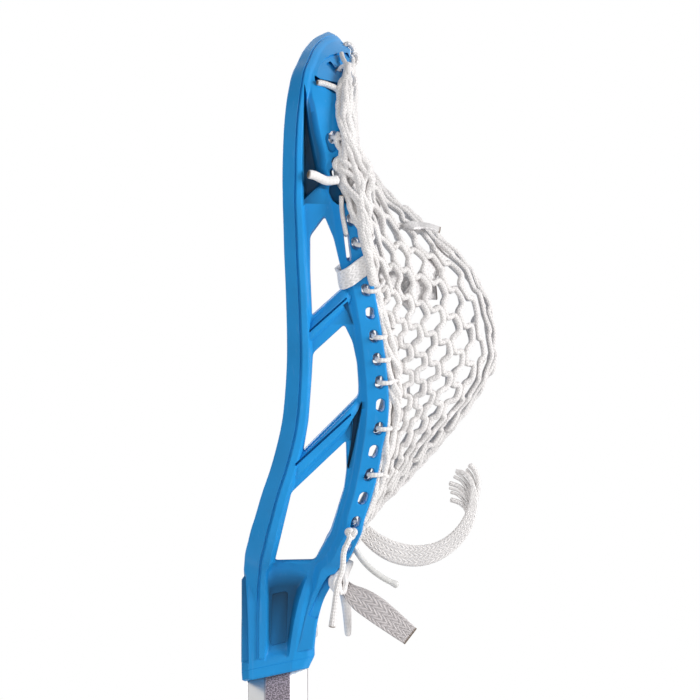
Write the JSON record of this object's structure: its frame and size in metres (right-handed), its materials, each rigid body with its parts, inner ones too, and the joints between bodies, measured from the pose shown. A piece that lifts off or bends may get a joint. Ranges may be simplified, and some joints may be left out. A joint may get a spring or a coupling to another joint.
{
  "type": "strung lacrosse stick",
  "caption": "Strung lacrosse stick: moulded plastic head with a knotted mesh pocket on an octagonal metal shaft with a rubber end cap.",
  "frame": {"origin": "middle of the butt end's bottom face", "axes": "+Z along the shaft towards the head, +X towards the pocket, Y across the head"},
  "size_m": [0.1247, 0.165, 1.031],
  "materials": {
    "moulded_blue": "satin",
    "shaft_metal": "bead blasted",
    "cap_rubber": "matte",
    "screw_steel": "satin",
    "ball_stop_foam": "foam",
    "mesh_cord": "knitted",
    "string_cord": "braided",
    "flat_lace": "flat braid",
    "smooth_cord": "smooth"
  },
  "bodies": {
    "root": {"shaft": "shaft_metal", "end_cap": "cap_rubber", "head": "moulded_blue", "head_screw": "screw_steel", "ball_stop": "ball_stop_foam", "mesh_pocket": "mesh_cord", "sidewall_string_near": "string_cord", "sidewall_string_far": "string_cord", "top_string": "string_cord", "throat_string": "string_cord", "shooting_lace_upper": "flat_lace", "shooting_lace_lower": "flat_lace", "rail_wrap_near": "flat_lace", "rail_wrap_far": "flat_lace", "near_string_tail": "string_cord", "throat_cord_tail": "smooth_cord", "nylon_tail": "smooth_cord", "flat_lace_tail": "flat_lace", "mesh_tail_band": "mesh_cord", "top_string_stub": "string_cord", "shooting_lace_tail": "flat_lace", "inner_lace_tail": "flat_lace"}
  },
  "joints": []
}
